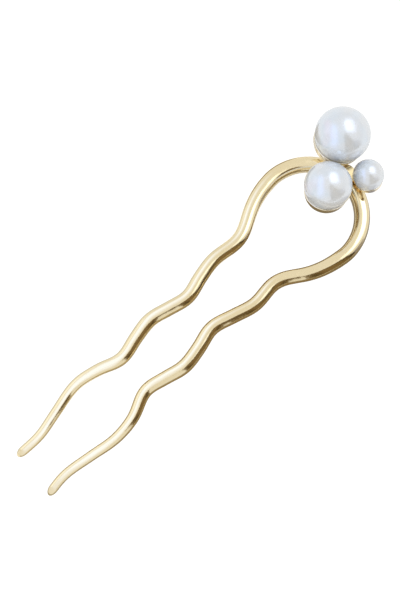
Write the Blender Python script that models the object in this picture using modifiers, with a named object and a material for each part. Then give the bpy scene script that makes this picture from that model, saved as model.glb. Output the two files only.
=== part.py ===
"""Decorative hair pin: a two-prong wavy metal fork with three imitation pearls on its crown.

The fork lies flat on its back. +X runs along the prongs towards the crown, +Y across them,
+Z up through the pearls, and z = 0 is the plane that the flat back rests on. The plan is
drawn round the centre of the loop and then moved so that the origin is under the middle.
"""
from math import asin, atan2, ceil, cos, degrees, pi, radians, sin, sqrt

import bmesh
import bpy
from mathutils import Euler, Vector

MM = 0.001

# Where the loop's centre stands from the origin.
LOOP_CENTRE = (34.39, 0.0)

# Fork: plan of its centreline, in millimetres from the loop's centre.
LOOP_RADIUS = 13.4
PRONG_LEFT = (          # the +Y prong, from the loop to the tip
    (-3.5, 13.0), (-6.6, 12.2), (-9.7, 10.9), (-12.6, 9.3), (-15.2, 8.1), (-18.1, 7.7),
    (-24.7, 8.4), (-30.4, 7.4), (-35.9, 6.0), (-41.2, 7.1), (-46.7, 8.3), (-52.4, 7.4),
    (-58.5, 6.1), (-64.7, 8.1), (-71.3, 9.2), (-79.8, 7.5), (-86.4, 6.1), (-93.6, 6.2),
)
PRONG_RIGHT = (         # the -Y prong
    (-3.3, -12.9), (-7.0, -11.9), (-10.5, -10.3), (-13.4, -8.4), (-15.8, -7.0), (-18.8, -6.3),
    (-25.2, -6.9), (-31.2, -5.3), (-37.1, -3.8), (-42.9, -5.2), (-48.7, -6.1), (-54.1, -4.9),
    (-59.9, -3.9), (-66.6, -6.6), (-73.3, -7.4), (-80.8, -6.3), (-88.4, -5.3), (-94.7, -6.1),
)
# Width of the wire: (distance along X from the loop's centre, width).
WIDTHS = (
    (-96.0, 2.25), (-84.0, 2.5), (-74.0, 2.7), (-58.0, 3.35), (-48.0, 3.65), (-12.0, 3.6),
    (-2.0, 3.95), (14.0, 4.05),
)
SECTION_HEIGHT = 0.80   # of the width, flat back to crest
SECTION_RISE = 0.38     # height of the widest place, of the width
SECTION_POWER = 2.35    # superellipse exponent: 2 is an ellipse, more is boxier
SECTION_SIDES = 13      # facets round the section, without the flat back
PATH_STEP = 1.7
LOOP_STEPS = 27
TIP_LENGTH = 2.0        # length over which a prong's end is rounded off
TIP_RINGS = (15, 30, 45, 60, 75)    # degrees round that end where the wire gets a ring

# Cluster: each pearl leans with its cup, up the pin and to the left by its own turn.
CUP_LEAN = radians(23.0)
PEARLS = {              # name: (pearl centre from the loop's centre, radius, turn in degrees)
    "large": ((18.9, 7.7, 11.0), 7.0, 0.0),
    "medium": ((7.1, 0.8, 11.5), 6.0, 24.0),
    "small": ((16.9, -3.7, 8.2), 3.9, 55.0),
}
# Shares of the pearl's radius.
CUP_SHIFT = 0.417       # cup centre below the pearl centre
CUP_RADIUS = 0.915      # outer radius of the cup
CUP_RIM_DROP = 0.13     # rim below the cup's centre
HOLE_TOP = 0.15         # top of the pearl's hole above the cup's centre, beyond CUP_SHIFT
PEG_TOP = 0.12
CEMENT_REACH = 62.0     # degrees up from the cup's bottom that the cement fills
LIP_RISE = 0.25         # crown of the rim, of the wall's thickness
LARGE_RADIUS = 5.0      # pearls over this size get the larger number of facets
BALL_FACETS = (26, 20)
CEMENT_FACETS = (20, 14)
PEG_FACETS = 10
PEG_RADIUS = 0.40
PEG_POINT = 0.6         # end of the peg, of its radius
PEG_CHAMFER = 0.3
PEG_HOLE_RADIUS = 0.50
DRILL_POINT = 0.2       # depth of the cone at the end of the hole
SOLDER_CLEARANCE = 0.06
JOINT_GAP = 0.05

# Post between the three cups, standing on the crown.
POST_CENTRE = (13.3, 0.6)
POST_RADIUS = 2.7
POST_BOTTOM, POST_TOP = 2.4, 6.6
POST_TAPER = 0.92       # top radius, of POST_RADIUS
SOLDER_LARGE = (1.9, 1.9, 1.35)
SOLDER_SMALL = (1.4, 1.4, 1.25)


# ---------------------------------------------------------------- scene

def clear_scene():
    for item in list(bpy.data.objects):
        bpy.data.objects.remove(item, do_unlink=True)
    for group in (bpy.data.meshes, bpy.data.curves, bpy.data.materials, bpy.data.collections):
        for item in list(group):
            group.remove(item)


def new_collection(name):
    collection = bpy.data.collections.new(name)
    bpy.context.scene.collection.children.link(collection)
    return collection


def principled(name, colour, metallic, roughness):
    material = bpy.data.materials.new(name)
    material.use_nodes = True
    shader = material.node_tree.nodes["Principled BSDF"]
    shader.inputs["Base Color"].default_value = (*colour, 1.0)
    shader.inputs["Metallic"].default_value = metallic
    shader.inputs["Roughness"].default_value = roughness
    material.diffuse_color = (*colour, 1.0)
    return material


def add_object(name, data, material=None, as_guide=False):
    item = bpy.data.objects.new(name, data)
    (guides if as_guide else parts).objects.link(item)
    item.parent = pin_origin
    if material:
        data.materials.append(material)
    if as_guide:
        item.hide_render = True
        item.display_type = 'WIRE'
    return item


def shade_smooth(mesh, sharp_angle=50.0):
    mesh.shade_smooth()
    mesh.set_sharp_from_angle(angle=radians(sharp_angle))


# ---------------------------------------------------------------- fork

def smooth_path(stations, step):
    """Points about one step apart on a Catmull-Rom curve through the stations."""
    path = []
    for i in range(len(stations) - 1):
        p0, p1, p2, p3 = (Vector(stations[min(max(i + k, 0), len(stations) - 1)])
                          for k in (-1, 0, 1, 2))
        count = max(1, ceil((p2 - p1).length / step))
        tangent1 = (p2 - p0) * ((p2 - p1).length / max((p2 - p0).length, 1e-6))
        tangent2 = (p3 - p1) * ((p2 - p1).length / max((p3 - p1).length, 1e-6))
        for k in range(count):
            t = k / count
            path.append(p1 * (2 * t**3 - 3 * t**2 + 1) + tangent1 * (t**3 - 2 * t**2 + t)
                        + p2 * (3 * t**2 - 2 * t**3) + tangent2 * (t**3 - t**2))
    path.append(Vector(stations[-1]))
    return path


def fork_centreline():
    """Tip of the left prong, round the loop, to the tip of the right prong."""
    loop = [(LOOP_RADIUS * cos(angle), LOOP_RADIUS * sin(angle))
            for angle in (radians(90 - 180 * k / LOOP_STEPS) for k in range(LOOP_STEPS + 1))]
    left = smooth_path([loop[0], *PRONG_LEFT], PATH_STEP)[1:]
    right = smooth_path([loop[-1], *PRONG_RIGHT], PATH_STEP)[1:]
    return left[::-1] + [Vector(point) for point in loop] + right


def with_round_ends(path):
    """The path with its last stretch at each end cut into short steps for the round tip."""
    def tip(end, towards):
        direction = (towards - end).normalized()
        return [end + direction * (TIP_LENGTH * (1 - cos(radians(a)))) for a in TIP_RINGS]
    clear = TIP_LENGTH * 0.9
    start = [p for p in path[:len(path) // 2] if (p - path[0]).length > clear]
    finish = [p for p in path[len(path) // 2:] if (p - path[-1]).length > clear]
    return tip(path[0], start[0]) + start + finish + tip(path[-1], finish[-1])[::-1]


def wire_width(x):
    for (x0, w0), (x1, w1) in zip(WIDTHS, WIDTHS[1:]):
        if x <= x1:
            t = max(0.0, (x - x0) / (x1 - x0))
            return w0 + (w1 - w0) * t
    return WIDTHS[-1][1]


def tip_factor(point, ends):
    """1 along the prong, falling to a rounded nothing at a tip."""
    left = min((point - end).length for end in ends)
    if left >= TIP_LENGTH:
        return 1.0
    return sqrt(1 - (1 - left / TIP_LENGTH) ** 2)


def section_outline(grow=0.0):
    """Flat-backed, domed section for a wire one unit wide, as (across, up) points."""
    half_height = SECTION_HEIGHT - SECTION_RISE
    power = 2.0 / SECTION_POWER
    start = -asin((SECTION_RISE / half_height) ** (SECTION_POWER / 2))
    points = []
    for k in range(SECTION_SIDES + 1):
        angle = start + (pi - 2 * start) * k / SECTION_SIDES
        across = abs(cos(angle)) ** power * (1 if cos(angle) >= 0 else -1)
        up = abs(sin(angle)) ** power * (1 if sin(angle) >= 0 else -1)
        points.append(((0.5 + grow) * across, SECTION_RISE + (half_height + grow) * up))
    return points


def wire_curve(name, grow, as_guide):
    """The fork as a curve that carries its section; grow swells it, in millimetres."""
    outline = section_outline(grow / WIDTHS[-1][1])
    section = bpy.data.curves.new(name + "_section", 'CURVE')
    section.dimensions = '2D'
    ring = section.splines.new('POLY')
    ring.points.add(len(outline) - 1)
    for slot, (across, up) in zip(ring.points, outline):
        slot.co = (across * MM, up * MM, 0, 1)
    ring.use_cyclic_u = True
    section_object = add_object(name + "_section", section, as_guide=True)

    centreline = fork_centreline()
    ends = (centreline[0], centreline[-1])
    path = with_round_ends(centreline)
    curve = bpy.data.curves.new(name, 'CURVE')
    curve.dimensions = '3D'
    curve.twist_mode = 'Z_UP'
    curve.bevel_mode = 'OBJECT'
    curve.bevel_object = section_object
    curve.use_fill_caps = True
    spline = curve.splines.new('POLY')
    spline.points.add(len(path) - 1)
    for slot, point in zip(spline.points, path):
        slot.co = (point.x * MM, point.y * MM, 0, 1)
        slot.radius = wire_width(point.x) * tip_factor(point, ends)
    return add_object(name, curve, gold, as_guide)


def to_mesh_object(item, as_guide=False):
    """Replace a curve object by the closed mesh that it draws."""
    name = item.name
    material = item.data.materials[0]
    bpy.context.view_layer.update()
    evaluated = item.evaluated_get(bpy.context.evaluated_depsgraph_get())
    mesh = bpy.data.meshes.new_from_object(evaluated)
    bpy.data.objects.remove(item)
    build = bmesh.new()
    build.from_mesh(mesh)
    bmesh.ops.remove_doubles(build, verts=build.verts, dist=0.00001)
    bmesh.ops.recalc_face_normals(build, faces=build.faces)
    build.to_mesh(mesh)
    build.free()
    mesh.materials.clear()
    mesh_object = add_object(name, mesh, material, as_guide)
    shade_smooth(mesh)
    return mesh_object


# ---------------------------------------------------------------- pearls and cups

def turned(name, profile, steps, material, centre, turn):
    """A profile of (radius, height) points turned round the leaning axis of a seat."""
    build = bmesh.new()
    verts = [build.verts.new((radius * MM, 0, height * MM)) for radius, height in profile]
    for a, b in zip(verts, verts[1:]):
        build.edges.new((a, b))
    mesh = bpy.data.meshes.new(name)
    build.to_mesh(mesh)
    build.free()
    item = add_object(name, mesh, material)
    item.location = Vector(centre) * MM
    item.rotation_euler = Euler((0, CUP_LEAN, turn), 'XYZ')
    screw = item.modifiers.new("turn", 'SCREW')
    screw.steps = screw.render_steps = steps
    screw.use_merge_vertices = True
    screw.merge_threshold = 0.000001
    screw.use_smooth_shade = True
    return item


def arc(radius, centre_height, first, last, count):
    """Points on a circle about the axis; angles in degrees up from the bottom pole."""
    points = []
    for k in range(count + 1):
        angle = radians(first + (last - first) * k / count)
        points.append((radius * sin(angle), centre_height - radius * cos(angle)))
    return points


def pole_angle(distance, radius):
    return degrees(asin(distance / radius))


def pearl_profile(radius):
    """Ball with a blind hole from below, drawn top to bottom about the cup's centre."""
    height = CUP_SHIFT * radius
    mouth = pole_angle(PEG_HOLE_RADIUS, radius)
    hole_top = height + HOLE_TOP * radius
    outside = arc(radius, height, 180, mouth, 15)
    outside[0] = (0, height + radius)
    return outside + [(PEG_HOLE_RADIUS, hole_top), (0, hole_top + DRILL_POINT)]


def cup_profile(radius):
    """Thin bowl with a rolled rim and a peg hole in its bottom."""
    outer = CUP_RADIUS * radius
    inner = outer - wall_thickness(radius)
    rim = -CUP_RIM_DROP * radius
    rim_outer = degrees(pi / 2 + asin(rim / outer))
    rim_inner = degrees(pi / 2 + asin(rim / inner))
    outside = arc(outer, 0, rim_outer, pole_angle(PEG_HOLE_RADIUS, outer), 9)
    inside = arc(inner, 0, pole_angle(PEG_HOLE_RADIUS, inner), rim_inner, 8)
    lip = [((outside[0][0] + inside[-1][0]) / 2, rim + wall_thickness(radius) * LIP_RISE)]
    return outside + inside + lip + outside[:1]


def cement_profile(radius):
    """Cement between the cup's floor and the pearl, open in the middle for the peg."""
    floor = CUP_RADIUS * radius - wall_thickness(radius) - JOINT_GAP
    ball = radius + JOINT_GAP
    shift = CUP_SHIFT * radius
    edge = floor * sin(radians(CEMENT_REACH))
    upper = arc(ball, shift, pole_angle(PEG_HOLE_RADIUS, ball), pole_angle(edge, ball), 5)
    lower = arc(floor, 0, CEMENT_REACH, pole_angle(PEG_HOLE_RADIUS, floor), 5)
    return upper + lower + upper[:1]


def peg_profile(radius):
    top = (CUP_SHIFT + PEG_TOP) * radius
    bottom = -CUP_RADIUS * radius + JOINT_GAP
    return [(0, top), (PEG_RADIUS * PEG_POINT, top), (PEG_RADIUS, top - PEG_CHAMFER),
            (PEG_RADIUS, bottom), (0, bottom)]


def wall_thickness(radius):
    return 0.10 + 0.05 * radius


def cup_centre(pearl):
    centre, radius, turn = PEARLS[pearl]
    axis = Euler((0, CUP_LEAN, radians(turn)), 'XYZ').to_matrix() @ Vector((0, 0, 1))
    return Vector(centre) - axis * (CUP_SHIFT * radius)


def set_pearl(pearl):
    radius, turn = PEARLS[pearl][1], radians(PEARLS[pearl][2])
    centre = cup_centre(pearl)
    size = 0 if radius > LARGE_RADIUS else 1
    steps = BALL_FACETS[size]
    turned("pearl_" + pearl, pearl_profile(radius), steps, pearl_white, centre, turn)
    turned("cup_" + pearl, cup_profile(radius), steps, gold, centre, turn)
    turned("cement_" + pearl, cement_profile(radius), CEMENT_FACETS[size], cement, centre, turn)
    turned("peg_" + pearl, peg_profile(radius), PEG_FACETS, steel, centre, turn)


# ---------------------------------------------------------------- post and solder

def ball_cutter(name, centre, radius):
    """Ball a little larger than a cup or pearl, for hollowing what stands next to it."""
    mesh = bpy.data.meshes.new(name)
    build = bmesh.new()
    bmesh.ops.create_uvsphere(build, u_segments=28, v_segments=18,
                              radius=(radius + SOLDER_CLEARANCE) * MM)
    build.to_mesh(mesh)
    build.free()
    item = add_object(name, mesh, as_guide=True)
    item.location = Vector(centre) * MM
    return item


def cup_cutter(pearl):
    return ball_cutter("cutter_" + pearl, cup_centre(pearl), CUP_RADIUS * PEARLS[pearl][1])


def cut_by(item, cutters):
    for cutter in cutters:
        cut = item.modifiers.new("cut_" + cutter.name, 'BOOLEAN')
        cut.operation = 'DIFFERENCE'
        cut.object = cutter


def seat_post(cutters):
    """Post with three hollow sides, which carries the cups on the crown."""
    mesh = bpy.data.meshes.new("seat_post")
    build = bmesh.new()
    bmesh.ops.create_cone(build, cap_ends=True, segments=24, radius1=POST_RADIUS * MM,
                          radius2=POST_RADIUS * POST_TAPER * MM, depth=(POST_TOP - POST_BOTTOM) * MM)
    build.to_mesh(mesh)
    build.free()
    item = add_object("seat_post", mesh, gold)
    item.location = Vector((*POST_CENTRE, (POST_TOP + POST_BOTTOM) / 2)) * MM
    cut_by(item, cutters)
    return item


def solder_bead(pearl, cutters, size):
    """Solder round the place where a cup touches the wire."""
    cup = cup_centre(pearl)
    round_loop = atan2(cup.y, cup.x)
    wire = Vector((LOOP_RADIUS * cos(round_loop), LOOP_RADIUS * sin(round_loop),
                   SECTION_RISE * WIDTHS[-1][1]))
    away = (cup - wire).normalized()
    contact = cup - away * (CUP_RADIUS * PEARLS[pearl][1])
    mesh = bpy.data.meshes.new("solder_" + pearl)
    build = bmesh.new()
    bmesh.ops.create_uvsphere(build, u_segments=16, v_segments=10, radius=1.0 * MM)
    bmesh.ops.scale(build, verts=build.verts, vec=size)
    build.to_mesh(mesh)
    build.free()
    item = add_object("solder_" + pearl, mesh, solder)
    item.location = contact * MM
    item.rotation_euler = away.to_track_quat('Z', 'Y').to_euler()
    cut_by(item, cutters)
    return item


# ---------------------------------------------------------------- assembly

clear_scene()
parts = new_collection("decorative_hair_pin")
guides = new_collection("cutters")
pin_origin = bpy.data.objects.new("pin_origin", None)
parts.objects.link(pin_origin)
pin_origin.location = (LOOP_CENTRE[0] * MM, LOOP_CENTRE[1] * MM, 0)

gold = principled("gold_plate", (0.83, 0.62, 0.27), 1.0, 0.16)
pearl_white = principled("pearl_lacquer", (0.90, 0.89, 0.89), 0.0, 0.22)
cement = principled("clear_cement", (0.80, 0.77, 0.68), 0.0, 0.35)
steel = principled("steel_peg", (0.62, 0.61, 0.58), 1.0, 0.30)
solder = principled("gilt_solder", (0.74, 0.53, 0.22), 1.0, 0.30)

to_mesh_object(wire_curve("fork", 0.0, as_guide=False))
wire_cutter = to_mesh_object(wire_curve("cutter_wire", SOLDER_CLEARANCE, as_guide=True), as_guide=True)
cup_cutters = {pearl: cup_cutter(pearl) for pearl in PEARLS}
for pearl_name in PEARLS:
    set_pearl(pearl_name)
small_ball = ball_cutter("cutter_pearl_small", *PEARLS["small"][:2])
seat_post([wire_cutter, *cup_cutters.values(), small_ball])
solder_bead("large", [wire_cutter, cup_cutters["large"]], SOLDER_LARGE)
solder_bead("small", [wire_cutter, cup_cutters["small"]], SOLDER_SMALL)
bpy.context.view_layer.update()
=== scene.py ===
"""Looks of the decorative hair pin: polished pale-gold wire, lacquered pearls in gilt cups.

Named sizes are in millimetres and meshes in metres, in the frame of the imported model: +X runs
up the pin, +Y across it, +Z up through the pearls, and the flat back lies on z = 0.
"""
from math import asin, copysign, cos, degrees, pi, radians, sin, sqrt

import bmesh
import bpy
import numpy as np
from mathutils import Matrix, Vector


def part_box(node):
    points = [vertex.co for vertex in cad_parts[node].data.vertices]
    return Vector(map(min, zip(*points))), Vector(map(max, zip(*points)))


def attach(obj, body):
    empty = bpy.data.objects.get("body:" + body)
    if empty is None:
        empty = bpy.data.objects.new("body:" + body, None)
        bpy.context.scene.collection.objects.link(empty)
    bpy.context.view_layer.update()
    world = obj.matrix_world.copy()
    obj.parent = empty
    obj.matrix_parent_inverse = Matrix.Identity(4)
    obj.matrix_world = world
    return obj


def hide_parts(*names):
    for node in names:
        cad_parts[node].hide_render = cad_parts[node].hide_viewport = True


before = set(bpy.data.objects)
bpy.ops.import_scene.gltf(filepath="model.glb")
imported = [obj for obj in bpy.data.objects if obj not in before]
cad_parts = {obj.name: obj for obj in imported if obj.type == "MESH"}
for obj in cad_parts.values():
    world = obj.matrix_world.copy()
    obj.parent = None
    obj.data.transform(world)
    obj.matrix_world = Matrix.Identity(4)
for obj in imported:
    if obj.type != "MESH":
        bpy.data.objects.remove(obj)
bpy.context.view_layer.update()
MM = 0.001

# ---------------------------------------------------------------- dimensions (mm)
# The fork's plan is drawn round the loop's centre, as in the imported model.
LOOP_CENTRE = (34.39, 0.0)
LOOP_RADIUS = 13.4
PRONG_LEFT = (          # the +Y prong, from the loop to the tip
    (-3.5, 13.0), (-6.6, 12.2), (-9.7, 10.9), (-12.6, 9.3), (-15.2, 8.1), (-18.1, 7.7),
    (-24.7, 8.4), (-30.4, 7.4), (-35.9, 6.0), (-41.2, 7.1), (-46.7, 8.3), (-52.4, 7.4),
    (-58.5, 6.1), (-64.7, 8.1), (-71.3, 9.2), (-79.8, 7.5), (-86.4, 6.1), (-93.6, 6.2),
)
PRONG_RIGHT = (         # the -Y prong
    (-3.3, -12.9), (-7.0, -11.9), (-10.5, -10.3), (-13.4, -8.4), (-15.8, -7.0), (-18.8, -6.3),
    (-25.2, -6.9), (-31.2, -5.3), (-37.1, -3.8), (-42.9, -5.2), (-48.7, -6.1), (-54.1, -4.9),
    (-59.9, -3.9), (-66.6, -6.6), (-73.3, -7.4), (-80.8, -6.3), (-88.4, -5.3), (-94.7, -6.1),
)
WIDTHS = (              # (distance along X from the loop's centre, width of the wire)
    (-96.0, 2.25), (-84.0, 2.5), (-74.0, 2.7), (-58.0, 3.35), (-48.0, 3.65), (-12.0, 3.6),
    (-2.0, 3.95), (14.0, 4.05),
)
TIP_LENGTH = 2.0        # length over which a prong's end is rounded off
BEND_EASE = 0.9         # length over which a change of bend is eased

# Section of the wire, as shares of its width.
SECTION_HEIGHT = 0.80   # flat back to crest
SECTION_RISE = 0.38     # height of the widest place
SECTION_POWER = 2.35    # superellipse exponent: 2 is an ellipse, more is boxier
CORNER_INSET = 0.05     # from where the sides would meet the back to the end of the flat
CORNER_LIFT = 0.16      # radians of the dome that the rounded corner takes

# Pearls and cups.
PEG_HOLE_RADIUS = 0.50
DRILL_POINT = 0.2       # depth of the cone at the end of the hole
HOLE_BEVEL = 0.02
MOUTH_MARGIN = 0.8      # degrees from the hole's mouth to the ball's last ring
CUP_WALL = 0.10         # thickness of a cup, beside WALL_SHARE
# Shares of the pearl's radius.
WALL_SHARE = 0.05
CUP_SHIFT = 0.417       # cup centre below the pearl centre
CUP_RADIUS = 0.915      # outer radius of the cup
CUP_RIM_DROP = 0.13     # rim below the cup's centre
HOLE_TOP = 0.15         # top of the pearl's hole above the pearl's centre
LIP_CROWN = 0.9         # height of the rounded rim, of half the wall

# Fineness of the meshes.
PATH_STEP = 0.2         # between the points of the centreline
EASE_ROUNDS = 3
LOOP_POINTS = 211
HEADING_REACH = 0.15    # how far ahead and behind a ring looks for the wire's heading
RING_STEP = 0.22
TIP_RINGS = 15
TIP_FIRST = radians(6)  # angle round the tip of its outermost ring
DOME_STEPS, CORNER_STEPS, FLAT_STEPS = 44, 5, 4
TURN_STEPS, PEARL_STEPS, CUP_STEPS = 112, 72, 36
LIP_ANGLES = (25, 50, 75, 90, 105, 130, 155)

# Fit of a ball to a packed pearl.
FIT_ROUNDS = 4
FIT_BAND = 0.05         # of the radius: points farther from the ball belong to the peg's hole


# ---------------------------------------------------------------- helpers
def link_object(name, mesh):
    made = bpy.data.objects.new(name, mesh)
    bpy.context.scene.collection.objects.link(made)
    return made


def mesh_object(name, build, material, smooth_angle):
    mesh = bpy.data.meshes.new(name)
    build.to_mesh(mesh)
    build.free()
    mesh.shade_smooth()
    mesh.set_sharp_from_angle(angle=radians(smooth_angle))
    mesh.materials.append(material)
    return link_object(name, mesh)


# ---------------------------------------------------------------- fork
def catmull_rom(stations):
    """Points about PATH_STEP apart on a smooth curve through the stations."""
    points = [Vector(p) for p in stations]
    path = []
    for i in range(len(points) - 1):
        p0, p1, p2, p3 = (points[min(max(i + k, 0), len(points) - 1)] for k in (-1, 0, 1, 2))
        chord = (p2 - p1).length
        m1 = (p2 - p0) * (chord / (p2 - p0).length)
        m2 = (p3 - p1) * (chord / (p3 - p1).length)
        count = max(1, round(chord / PATH_STEP))
        for k in range(count):
            t = k / count
            path.append(p1 * (2 * t**3 - 3 * t**2 + 1) + m1 * (t**3 - 2 * t**2 + t)
                        + p2 * (3 * t**2 - 2 * t**3) + m2 * (t**3 - t**2))
    path.append(points[-1])
    return path


def distances(points):
    """Distance of each point from the first, along the line through them."""
    steps = np.linalg.norm(np.diff(points, axis=0), axis=1)
    return np.concatenate([[0], np.cumsum(steps)])


def fork_path():
    """Evenly spaced centreline, tip to tip, with every change of bend eased."""
    loop = [Vector((LOOP_RADIUS * cos(a), LOOP_RADIUS * sin(a)))
            for a in np.linspace(pi / 2, -pi / 2, LOOP_POINTS)]
    left = catmull_rom([loop[0], *PRONG_LEFT])[1:]
    right = catmull_rom([loop[-1], *PRONG_RIGHT])[1:]
    points = np.array([tuple(p) for p in left[::-1] + loop + right])
    passes = int(2 * BEND_EASE**2 / PATH_STEP**2 / EASE_ROUNDS)
    for _ in range(EASE_ROUNDS):
        along = distances(points)
        even = np.linspace(0, along[-1], int(along[-1] / PATH_STEP) + 1)
        points = np.column_stack([np.interp(even, along, points[:, k]) for k in (0, 1)])
        for _ in range(passes):
            points[1:-1] = points[1:-1] * 0.5 + (points[:-2] + points[2:]) * 0.25
    return points


def wire_width(x):
    places, widths = zip(*WIDTHS)
    return float(np.interp(x, places, widths))


def section():
    """Closed outline (across, up) of a wire one unit wide: domed, with a flat back."""
    half_height = SECTION_HEIGHT - SECTION_RISE
    power = 2.0 / SECTION_POWER
    foot = -asin((SECTION_RISE / half_height) ** (SECTION_POWER / 2))
    first = foot + CORNER_LIFT
    dome = []
    for k in range(DOME_STEPS + 1):
        angle = first + (pi - 2 * first) * k / DOME_STEPS
        across, up = (copysign(abs(part) ** power, part) for part in (cos(angle), sin(angle)))
        dome.append((0.5 * across, SECTION_RISE + half_height * up))
    side = 0.5 * cos(foot) ** power
    flat_end = side - CORNER_INSET
    start, knee, end = Vector(dome[-1]), Vector((-side, 0)), Vector((-flat_end, 0))
    left_corner = []
    for k in range(1, CORNER_STEPS):
        t = k / CORNER_STEPS
        left_corner.append(tuple(start * (1 - t) ** 2 + knee * 2 * t * (1 - t) + end * t * t))
    flat = [(-flat_end + 2 * flat_end * k / FLAT_STEPS, 0.0) for k in range(FLAT_STEPS + 1)]
    right_corner = [(-across, up) for across, up in reversed(left_corner)]
    return dome + left_corner + flat + right_corner


def ring_places(total):
    """Distances along the wire that get a ring: even, and crowded towards each tip."""
    tip = [TIP_LENGTH * (1 - cos(a)) for a in np.linspace(TIP_FIRST, pi / 2, TIP_RINGS)]
    middle = np.arange(TIP_LENGTH + PATH_STEP, total - TIP_LENGTH, RING_STEP)
    return tip + list(middle) + [total - place for place in reversed(tip)]


def build_fork(material):
    path = fork_path()
    outline = section()
    along = distances(path)
    total = along[-1]
    rings = ring_places(total)

    def on_path(place):
        return np.array([np.interp(place, along, path[:, k]) for k in (0, 1)])

    build = bmesh.new()
    uv = build.loops.layers.uv.new("wire")
    grid = []
    for place in rings:
        point = on_path(place)
        ahead = on_path(min(place + HEADING_REACH, total))
        behind = on_path(max(place - HEADING_REACH, 0))
        heading = (ahead - behind) / np.linalg.norm(ahead - behind)
        side = np.array((heading[1], -heading[0]))
        from_tip = min(place, total - place)
        shrink = sqrt(1 - (1 - from_tip / TIP_LENGTH) ** 2) if from_tip < TIP_LENGTH else 1.0
        width = wire_width(point[0]) * shrink
        ring = []
        for across, up in outline:
            x, y = LOOP_CENTRE + point + side * (across * width)
            ring.append(build.verts.new((x * MM, y * MM, up * width * MM)))
        grid.append(ring)
    # The UV map runs along the wire in metres, and once round it from 0 to 1.
    count = len(outline)
    for i in range(len(rings) - 1):
        for j in range(count):
            corners = ((i, j), (i, j + 1), (i + 1, j + 1), (i + 1, j))
            face = build.faces.new([grid[r][c % count] for r, c in corners])
            for loop, (r, c) in zip(face.loops, corners):
                loop[uv].uv = (rings[r] * MM, c / count)
    build.faces.new(grid[0][::-1])
    build.faces.new(grid[-1])
    bmesh.ops.recalc_face_normals(build, faces=build.faces)
    return mesh_object("fork_wire", build, material, smooth_angle=35.0)


# ---------------------------------------------------------------- pearls and cups
def lathe(name, profile, origin, axis, material):
    """A closed profile of (radius, height) turned round an axis; radius 0 is a pole."""
    turn = axis.to_track_quat('Z', 'Y').to_matrix()
    build = bmesh.new()
    rings = []
    for radius, height in profile:
        count = TURN_STEPS if radius > 0 else 1
        angles = [2 * pi * k / TURN_STEPS for k in range(count)]
        rings.append([build.verts.new(origin + turn @ Vector((radius * cos(a), radius * sin(a), height)))
                      for a in angles])
    pairs = list(zip(rings, rings[1:]))
    if len(rings[0]) > 1:
        pairs.append((rings[-1], rings[0]))
    for a, b in pairs:
        for k in range(TURN_STEPS):
            quad = [a[k % len(a)], a[(k + 1) % len(a)], b[(k + 1) % len(b)], b[k % len(b)]]
            corners = list(dict.fromkeys(quad))
            if len(corners) > 2:
                build.faces.new(corners)
    bmesh.ops.recalc_face_normals(build, faces=build.faces)
    return mesh_object(name, build, material, smooth_angle=40.0)


def arc(radius, first, last, count):
    """Points on a circle round the origin; angles in degrees up from the bottom pole."""
    return [(radius * sin(a), -radius * cos(a))
            for a in (radians(first + (last - first) * k / count) for k in range(count + 1))]


def node_points(node):
    return np.array([v.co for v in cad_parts[node].data.vertices], float)


def fit_ball(node):
    """Centre and radius of the ball that a pearl's outer surface lies on."""
    points = node_points(node)
    low, high = points.min(0), points.max(0)
    centre, radius = (low + high) / 2, (high - low).max() / 2
    for _ in range(FIT_ROUNDS):
        off = np.abs(np.linalg.norm(points - centre, axis=1) - radius)
        outer = points[off < FIT_BAND * radius]
        system = np.column_stack([2 * outer, np.ones(len(outer))])
        answer = np.linalg.lstsq(system, (outer**2).sum(1), rcond=None)[0]
        centre = answer[:3]
        radius = sqrt(answer[3] + centre @ centre)
    return Vector(centre), radius


def long_axis(node):
    """Unit vector along a peg, pointing up."""
    points = node_points(node)
    axis = np.linalg.svd(points - points.mean(0))[2][0]
    return Vector(axis if axis[2] > 0 else -axis).normalized()


def build_pearl(name, centre, radius, axis, material):
    """Ball with a blind hole from below for its peg."""
    hole = PEG_HOLE_RADIUS * MM
    mouth = asin(hole / radius)
    outside = arc(radius, 180, degrees(mouth) + MOUTH_MARGIN, PEARL_STEPS)
    outside[0] = (0.0, radius)
    top = HOLE_TOP * radius
    inside = [(hole, -radius * cos(mouth) + HOLE_BEVEL * MM), (hole, top),
              (0.0, top + DRILL_POINT * MM)]
    return lathe(name, outside + inside, centre, axis, material)


def build_cup(name, centre, radius, axis, material):
    """Thin bowl with a rounded rim and a hole in its bottom for the peg."""
    outer = CUP_RADIUS * radius
    inner = outer - (CUP_WALL * MM + WALL_SHARE * radius)
    rim = -CUP_RIM_DROP * radius
    hole = PEG_HOLE_RADIUS * MM
    rim_outer, rim_inner = (degrees(pi / 2 + asin(rim / r)) for r in (outer, inner))
    outside = arc(outer, rim_outer, degrees(asin(hole / outer)), CUP_STEPS)
    inside = arc(inner, degrees(asin(hole / inner)), rim_inner, CUP_STEPS)
    a, b = Vector(inside[-1]), Vector(outside[0])
    middle, half = (a + b) / 2, (a - b).length / 2
    lip = [(middle.x - half * cos(t), middle.y + half * LIP_CROWN * sin(t))
           for t in map(radians, LIP_ANGLES)]
    return lathe(name, outside + inside + lip, centre, axis, material)


# ---------------------------------------------------------------- material nodes
def new_material(name):
    made = bpy.data.materials.new(name)
    made.use_nodes = True
    return made, made.node_tree.nodes, made.node_tree.links


def object_place(nodes):
    return nodes.new("ShaderNodeTexCoord").outputs["Object"]


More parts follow.
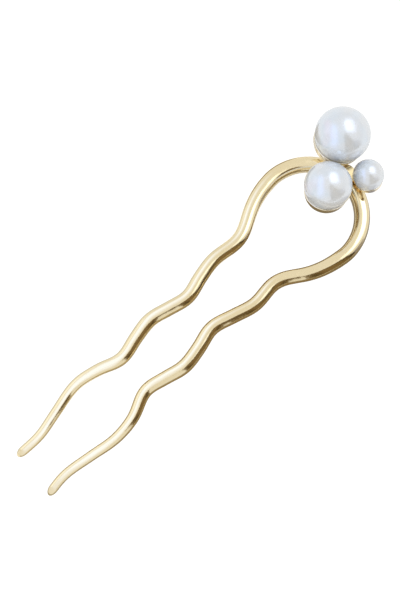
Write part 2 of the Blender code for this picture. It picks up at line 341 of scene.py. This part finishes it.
def noise(nodes, links, place, scale, detail, stretch=None):
    """Noise over a coordinate socket; stretch multiplies the three axes before sampling."""
    grain = nodes.new("ShaderNodeTexNoise")
    grain.inputs["Scale"].default_value = scale
    grain.inputs["Detail"].default_value = detail
    if stretch:
        mapping = nodes.new("ShaderNodeMapping")
        mapping.inputs["Scale"].default_value = stretch
        links.new(place, mapping.inputs["Vector"])
        place = mapping.outputs["Vector"]
    links.new(place, grain.inputs["Vector"])
    return grain.outputs["Fac"]


def between(nodes, links, factor, low, high, start=0.0, end=1.0):
    """Low where the factor is at start, high where it is at end."""
    ranged = nodes.new("ShaderNodeMapRange")
    ranged.inputs["From Min"].default_value = start
    ranged.inputs["From Max"].default_value = end
    ranged.inputs["To Min"].default_value = low
    ranged.inputs["To Max"].default_value = high
    links.new(factor, ranged.inputs["Value"])
    return ranged.outputs["Result"]


def maths(nodes, links, operation, *values):
    """One sum; each value is a float or a socket."""
    made = nodes.new("ShaderNodeMath")
    made.operation = operation
    for socket, value in zip(made.inputs, values):
        if isinstance(value, float):
            socket.default_value = value
        else:
            links.new(value, socket)
    return made.outputs[0]


def blend_colour(nodes, links, factor, first, second):
    """Mix of two colours, each a tuple or a socket."""
    mix = nodes.new("ShaderNodeMix")
    mix.data_type = 'RGBA'
    for socket, value in ((mix.inputs["A"], first), (mix.inputs["B"], second)):
        if isinstance(value, tuple):
            socket.default_value = (*value, 1)
        else:
            links.new(value, socket)
    links.new(factor, mix.inputs["Factor"])
    return mix.outputs["Result"]


def colour_ramp(nodes, links, factor, stops, interpolation='LINEAR'):
    """Colours along the factor, from (place, colour) stops."""
    ramp = nodes.new("ShaderNodeValToRGB")
    steps = ramp.color_ramp
    steps.interpolation = interpolation
    while len(steps.elements) < len(stops):
        steps.elements.new(0.5)
    for k, (place, _) in enumerate(stops):
        steps.elements[k].position = place
    for k, (_, colour) in enumerate(stops):
        steps.elements[k].color = (*colour, 1)
    links.new(factor, ramp.inputs[0])
    return ramp.outputs[0]


def add_bump(nodes, links, height, distance, strength, under=None):
    bump = nodes.new("ShaderNodeBump")
    bump.inputs["Distance"].default_value = distance
    bump.inputs["Strength"].default_value = strength
    links.new(height, bump.inputs["Height"])
    if under:
        links.new(under, bump.inputs["Normal"])
    return bump.outputs["Normal"]


def set_shader(nodes, **values):
    """Values of the Principled BSDF, with _ for each space in a socket's name."""
    for name, value in values.items():
        nodes["Principled BSDF"].inputs[name.replace("_", " ")].default_value = value


def link_shader(nodes, links, colour, roughness, normal):
    shader = nodes["Principled BSDF"]
    links.new(colour, shader.inputs["Base Color"])
    links.new(roughness, shader.inputs["Roughness"])
    links.new(normal, shader.inputs["Normal"])


# ---------------------------------------------------------------- materials
BACK_CORNERS = (0.81, 0.965)    # where the flat back's two corners lie in the wire's UV map
CORNER_REACH = 0.045            # how far the rubbing reaches from them, in the same map
RUBBED_TONE = (0.80, 0.58, 0.34)


def rubbed_corners(nodes, links, uv, where):
    """1 in broken patches along the corners of the flat back, 0 elsewhere."""
    split = nodes.new("ShaderNodeSeparateXYZ")
    links.new(uv, split.inputs[0])
    edges = []
    for corner in BACK_CORNERS:
        gap = maths(nodes, links, 'SUBTRACT', split.outputs["Y"], corner)
        size = maths(nodes, links, 'ABSOLUTE', gap)
        edges.append(between(nodes, links, size, low=1.0, high=0.0, end=CORNER_REACH))
    either = maths(nodes, links, 'MAXIMUM', *edges)
    grain = noise(nodes, links, where, scale=900.0, detail=3.0)
    broken = between(nodes, links, grain, low=0.0, high=0.7, start=0.4, end=0.7)
    return maths(nodes, links, 'MULTIPLY', either, broken)


def gold_material(name, light, deep, rough, on_wire=False):
    """Polished pale-gold plate: drifting tone, uneven polish and a soft ripple. The wire also
    has fine lines along it and rubbed corners."""
    made, nodes, links = new_material(name)
    where = object_place(nodes)
    drift = noise(nodes, links, where, scale=160.0, detail=2.0)
    share = between(nodes, links, drift, low=0.0, high=0.55, start=0.35, end=0.75)
    colour = blend_colour(nodes, links, share, light, deep)
    mottle = noise(nodes, links, where, scale=2600.0, detail=4.0)
    polish = between(nodes, links, mottle, low=rough - 0.03, high=rough + 0.09, start=0.3, end=0.75)
    swell = add_bump(nodes, links, noise(nodes, links, where, scale=140.0, detail=1.0),
                     distance=0.1 * MM, strength=0.4)
    normal = add_bump(nodes, links, noise(nodes, links, where, scale=420.0, detail=1.0),
                      distance=0.05 * MM, strength=0.35, under=swell)
    if on_wire:
        map_node = nodes.new("ShaderNodeUVMap")
        map_node.uv_map = "wire"
        uv = map_node.outputs["UV"]
        lines = noise(nodes, links, uv, scale=1.0, detail=5.0, stretch=(260.0, 95.0, 1.0))
        normal = add_bump(nodes, links, lines, distance=0.012 * MM, strength=0.35, under=normal)
        colour = blend_colour(nodes, links, rubbed_corners(nodes, links, uv, where), colour, RUBBED_TONE)
    else:
        normal = add_bump(nodes, links, mottle, distance=0.004 * MM, strength=0.3, under=normal)
    link_shader(nodes, links, colour, polish, normal)
    set_shader(nodes, Metallic=1.0)
    return made


PEARL_TONES = (         # cream, white, blue and lilac
    (0.30, (0.75, 0.735, 0.70)), (0.45, (0.73, 0.735, 0.735)),
    (0.58, (0.69, 0.74, 0.785)), (0.72, (0.75, 0.71, 0.77)),
)
PEARL_CLOUD = (0.79, 0.785, 0.78)


def pearl_material():
    """Pearl lacquer: pale body with faint lilac, blue and cream overtones under a clear coat."""
    made, nodes, links = new_material("pearl_lacquer")
    where = object_place(nodes)
    drift = noise(nodes, links, where, scale=130.0, detail=2.0)
    tones = colour_ramp(nodes, links, drift, PEARL_TONES)
    cloud = noise(nodes, links, where, scale=900.0, detail=5.0)
    share = between(nodes, links, cloud, low=0.0, high=0.5, start=0.4, end=0.8)
    colour = blend_colour(nodes, links, share, tones, PEARL_CLOUD)
    polish = between(nodes, links, cloud, low=0.20, high=0.30, start=0.3, end=0.7)
    swell = add_bump(nodes, links, noise(nodes, links, where, scale=330.0, detail=1.0),
                     distance=0.05 * MM, strength=0.25)
    normal = add_bump(nodes, links, noise(nodes, links, where, scale=2400.0, detail=3.0),
                      distance=0.004 * MM, strength=0.1, under=swell)
    link_shader(nodes, links, colour, polish, normal)
    set_shader(nodes, Metallic=0.1, IOR=2.4, Coat_Weight=1.0, Coat_Roughness=0.10, Coat_IOR=1.6,
               Specular_Tint=(0.62, 0.78, 1.0, 1))
    return made


def hidden_material(name, first, second, metallic, rough, scale):
    """Cement and steel, which show only in the narrow gap under a pearl."""
    made, nodes, links = new_material(name)
    grain = noise(nodes, links, object_place(nodes), scale, detail=4.0)
    link_shader(nodes, links, blend_colour(nodes, links, grain, first, second),
                between(nodes, links, grain, low=rough - 0.08, high=rough + 0.12),
                add_bump(nodes, links, grain, distance=0.01 * MM, strength=0.5))
    set_shader(nodes, Metallic=metallic)
    return made


gold = gold_material("gold_plate_wire", light=(0.92, 0.79, 0.51), deep=(0.90, 0.75, 0.45),
                     rough=0.075, on_wire=True)
gilt = gold_material("gold_plate_cups", light=(0.89, 0.81, 0.65), deep=(0.86, 0.75, 0.54), rough=0.12)
post = gold_material("gold_plate_post", light=(0.93, 0.76, 0.43), deep=(0.88, 0.64, 0.30), rough=0.16)
solder = gold_material("gilt_solder", light=(0.88, 0.58, 0.22), deep=(0.76, 0.45, 0.14), rough=0.24)
pearl = pearl_material()
cement = hidden_material("clear_cement", (0.80, 0.77, 0.68), (0.70, 0.66, 0.56),
                         metallic=0.0, rough=0.35, scale=1500.0)
steel = hidden_material("steel_peg", (0.62, 0.61, 0.58), (0.50, 0.49, 0.47),
                        metallic=1.0, rough=0.30, scale=3000.0)

# ---------------------------------------------------------------- pieces
fork = build_fork(gold)
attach(fork, "root")
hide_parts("fork")

for size in ("large", "medium", "small"):
    ball, radius = fit_ball("pearl_" + size)
    axis = long_axis("peg_" + size)
    seat = ball - axis * (CUP_SHIFT * radius)
    piece = build_pearl("lacquered_pearl_" + size, ball, radius, axis, pearl)
    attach(piece, "root")
    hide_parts("pearl_" + size)
    piece = build_cup("gilt_cup_" + size, seat, radius, axis, gilt)
    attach(piece, "root")
    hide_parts("cup_" + size)

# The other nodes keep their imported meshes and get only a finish.
for name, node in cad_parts.items():
    for start, finish in (("peg_", steel), ("cement_", cement), ("seat_post", post), ("solder_", solder)):
        if name.startswith(start):
            for slot in node.material_slots:
                slot.material = finish

# ---------------------------------------------------------------- camera
# Directions on the stage are named from the camera: RIGHT and DOWN lie in the floor plane.
CAMERA_TURN = radians(43.792974)
CAMERA_TILT = radians(12.0)     # from straight down
CAMERA_DISTANCE = 744.0
CAMERA_AIM = (0.099, 3.318, 1.65)
RIGHT = Vector((cos(CAMERA_TURN), -sin(CAMERA_TURN), 0))
DOWN = Vector((-sin(CAMERA_TURN), -cos(CAMERA_TURN), 0))
TO_CAMERA = Vector((0, 0, cos(CAMERA_TILT))) + DOWN * sin(CAMERA_TILT)
UP = -DOWN * cos(CAMERA_TILT) + Vector((0, 0, sin(CAMERA_TILT)))

camera_data = bpy.data.cameras.new("camera")
camera_data.lens = 180
camera_data.sensor_width = 36
camera_data.clip_start, camera_data.clip_end = 0.01, 20
camera = link_object("camera", camera_data)
stand = Vector(CAMERA_AIM) * MM + TO_CAMERA * CAMERA_DISTANCE * MM
camera.matrix_world = Matrix.Translation(stand) @ Matrix((RIGHT, UP, TO_CAMERA)).transposed().to_4x4()
bpy.context.scene.camera = camera
bpy.context.scene.view_settings.view_transform = 'Standard'

# ---------------------------------------------------------------- stage
AMBIENT = (0.85, 0.85, 0.85)    # what reflections see where there is no card
DIFFUSE_LIGHT = 1.04            # the same, for what lights the matt surfaces
FLOOR_HALF, FLOOR_Z = 3000.0, -0.02
FLOOR_GLOW = 0.90               # keeps the floor nearly white to the camera
LYING_CARD_Z = 0.01
WINDOW_DISTANCE, BLUE_DISTANCE = 420.0, 125.0

# The next two tones are painted shade for the floor beside the wire, seen only in its reflections.
DARK_PAINTED_SHADE = (0.27, 0.20, 0.11)
PALE_PAINTED_SHADE = (0.72, 0.73, 0.76)
BLUE = (1.12, 1.28, 1.8)
TIP_WHITE = (1.0, 1.0, 1.05)

# Standing cards, in millimetres: name, floor points, the heights over them, material name,
# tones from the first floor point to the second, and the shares that fade at sides and ends.
STANDING_CARDS = (
    ("card_dark", ((-14, -80), (58, -80)), (300, 520), "dark_card", (
        (0.0, (0.22, 0.16, 0.08)), (0.2, (0.10, 0.07, 0.03)), (0.4, (0.22, 0.15, 0.07)),
        (0.7, (0.20, 0.14, 0.06)), (0.88, (0.08, 0.06, 0.03)), (1.0, (0.08, 0.06, 0.03))), (0.0, 0.0)),
    ("card_side", ((58, -80), (96, -84)), (75, 35), "side_card", (
        (0.0, (0.30, 0.29, 0.34)), (0.6, (0.40, 0.39, 0.44)), (1.0, AMBIENT)), (0.0, 0.0)),
    ("card_low", ((-45, -78), (80, -78)), (14, 14), "low_card", (
        (0.0, (0.60, 0.62, 0.68)), (0.3, (0.33, 0.27, 0.17)), (1.0, (0.26, 0.19, 0.10))), (0.0, 0.0)),
    ("card_left", ((-130, 150), (45, 150)), (420, 420), "left_card", (
        (0.0, (1.2, 1.25, 1.35)), (1.0, (1.15, 1.2, 1.3))), (0.28, 0.3)),
    ("card_tip", ((-78, 24), (-74, -22)), (40, 40), "tip_card", (
        (0.0, TIP_WHITE), (1.0, TIP_WHITE)), (0.0, 0.0)),
)
# Painted shade on the floor beside the wire: sheets that only reflections see, whose dark, brownish
# glow stands in for the floor's shade round the wire in its reflections. Columns: name, the card's
# reach along X and along Y in millimetres, and tones along X.
LYING_CARDS = (
    ("card_shade", (-72, 14), (-44, -3),
     ((0.0, (0.50, 0.47, 0.40)), (0.5, (0.33, 0.26, 0.15)), (1.0, DARK_PAINTED_SHADE))),
    ("card_between", (-72, 14), (-3, 5.4),
     ((0.0, (0.60, 0.56, 0.48)), (0.5, (0.46, 0.40, 0.29)), (1.0, (0.30, 0.23, 0.13)))),
    ("card_loop", (14, 50), (-44, 6),
     ((0.0, DARK_PAINTED_SHADE), (0.5, (0.24, 0.19, 0.11)), (1.0, (0.36, 0.36, 0.40)))),
    ("card_beside", (-72, 14), (8, 27), ((0.0, (0.62, 0.62, 0.62)), (1.0, PALE_PAINTED_SHADE))),
    ("card_edge", (14, 48), (17, 32),
     ((0.0, PALE_PAINTED_SHADE), (0.5, (0.36, 0.29, 0.18)), (1.0, (0.26, 0.20, 0.11)))),
)
# Where the window and the sky stand in a pearl's disc, in radii: rows of (left, right) places.
WINDOW_ROWS = (((0.06, 0.02), (0.48, 0.0)), ((0.01, 0.28), (0.46, 0.28)), ((0.04, 0.54), (0.38, 0.54)))
WINDOW_TONES = ((0.0, (2.6, 2.75, 3.0)), (0.45, (2.3, 2.45, 2.8)), (1.0, (1.2, 1.25, 1.5)))
BLUE_ROWS = (((-0.50, -0.55), (-0.12, -0.55)), ((-0.48, -0.2), (-0.13, -0.2)),
             ((-0.48, 0.1), (-0.13, 0.1)), ((-0.46, 0.42), (-0.15, 0.42)))


def glow_material(name, tones, soft=(0.0, 0.0)):
    """Emission that blends along a card's width: (place, colour). Within soft of the card's
    sides and ends it turns into the ambient colour."""
    made, nodes, links = new_material(name)
    nodes.clear()
    out = nodes.new("ShaderNodeOutputMaterial")
    glow = nodes.new("ShaderNodeEmission")
    links.new(glow.outputs[0], out.inputs["Surface"])
    split = nodes.new("ShaderNodeSeparateXYZ")
    links.new(nodes.new("ShaderNodeUVMap").outputs[0], split.inputs[0])
    colour = colour_ramp(nodes, links, split.outputs["X"], tones, 'EASE')
    for output, width in zip(("X", "Y"), soft):
        if width:
            inside = maths(nodes, links, 'PINGPONG', split.outputs[output], 0.5)
            share = between(nodes, links, inside, low=0.0, high=1.0, end=width)
            colour = blend_colour(nodes, links, share, AMBIENT, colour)
    links.new(colour, glow.inputs["Color"])
    return made


def card(name, rows, shade):
    """A stage card that only reflections see, from rows of (left, right) points, bottom up."""
    mesh = bpy.data.meshes.new(name)
    faces = [(2 * k, 2 * k + 1, 2 * k + 3, 2 * k + 2) for k in range(len(rows) - 1)]
    mesh.from_pydata([tuple(point) for row in rows for point in row], [], faces)
    uv = mesh.uv_layers.new(name="card")
    for loop in mesh.loops:
        row, side = divmod(loop.vertex_index, 2)
        uv.data[loop.index].uv = (side, row / (len(rows) - 1))
    mesh.materials.append(shade)
    made = link_object(name, mesh)
    made.visible_camera = made.visible_diffuse = False
    made.visible_shadow = made.visible_transmission = False


def standing_card(name, ends, heights, shade):
    bottom = [Vector((*end, 0)) * MM for end in ends]
    top = [Vector((*end, height)) * MM for end, height in zip(ends, heights)]
    card(name, (bottom, top), shade)


def lying_card(name, along_x, along_y, shade):
    card(name, [[Vector((x, y, LYING_CARD_Z)) * MM for x in along_x] for y in along_y], shade)


def mirrored(right, over):
    """Direction that a ball reflects to the camera at a place on its disc, in radii."""
    normal = RIGHT * right + UP * over + TO_CAMERA * sqrt(max(0.0, 1 - right * right - over * over))
    return normal * (2 * normal.dot(TO_CAMERA)) - TO_CAMERA


def card_in_pearls(name, rows, distance, shade):
    """A card that shows in the pearls at the given rows of places on their discs."""
    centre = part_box("pearl_medium")[0].lerp(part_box("pearl_large")[1], 0.5)
    card(name, [[centre + mirrored(*place) * (distance * MM) for place in row] for row in rows], shade)


def floor_material():
    """Pale paper for light and reflections. The camera sees a sheet that also glows, near white."""
    made, nodes, links = new_material("floor_white")
    nodes.clear()
    out = nodes.new("ShaderNodeOutputMaterial")
    seen = nodes.new("ShaderNodeMixShader")
    paper = nodes.new("ShaderNodeBsdfDiffuse")
    paper.inputs["Color"].default_value = (0.96, 0.95, 0.93, 1)
    sheet = nodes.new("ShaderNodeBsdfDiffuse")
    sheet.inputs["Color"].default_value = (0.30, 0.30, 0.30, 1)
    lit = nodes.new("ShaderNodeEmission")
    lit.inputs["Strength"].default_value = FLOOR_GLOW
    bright = nodes.new("ShaderNodeAddShader")
    links.new(sheet.outputs[0], bright.inputs[0])
    links.new(lit.outputs[0], bright.inputs[1])
    links.new(nodes.new("ShaderNodeLightPath").outputs["Is Camera Ray"], seen.inputs[0])
    links.new(paper.outputs[0], seen.inputs[1])
    links.new(bright.outputs[0], seen.inputs[2])
    links.new(seen.outputs[0], out.inputs["Surface"])
    return made


def build_floor():
    floor = bpy.data.meshes.new("floor")
    corners = [Vector((x, y, FLOOR_Z)) * MM
               for x, y in ((-FLOOR_HALF, -FLOOR_HALF), (FLOOR_HALF, -FLOOR_HALF),
                            (FLOOR_HALF, FLOOR_HALF), (-FLOOR_HALF, FLOOR_HALF))]
    floor.from_pydata([tuple(corner) for corner in corners], [], [(0, 1, 2, 3)])
    floor.materials.append(floor_material())
    link_object("floor", floor)


def light_stage():
    """A white room, with one strength for reflections and another for diffuse light."""
    world = bpy.data.worlds.new("studio")
    bpy.context.scene.world = world
    world.use_nodes = True
    nodes, links = world.node_tree.nodes, world.node_tree.links
    sky = nodes["Background"]
    sky.inputs["Color"].default_value = (1, 1, 1, 1)
    diffuse_ray = nodes.new("ShaderNodeLightPath").outputs["Is Diffuse Ray"]
    strength = between(nodes, links, diffuse_ray, low=AMBIENT[0], high=DIFFUSE_LIGHT)
    links.new(strength, sky.inputs["Strength"])


build_floor()
for name, ends, heights, finish, tones, soft in STANDING_CARDS:
    standing_card(name, ends, heights, glow_material(finish, tones, soft))
# Painted shade on the floor beside the wire, which only the wire's reflections see.
for name, along_x, along_y, tones in LYING_CARDS:
    lying_card(name, along_x, along_y, glow_material(name + "_tone", tones))
card_in_pearls("card_window", WINDOW_ROWS, WINDOW_DISTANCE,
               glow_material("window_light", WINDOW_TONES, soft=(0.2, 0.25)))
card_in_pearls("card_blue", BLUE_ROWS, BLUE_DISTANCE,
               glow_material("blue_light", ((0.0, BLUE), (1.0, BLUE)), soft=(0.4, 0.25)))
light_stage()
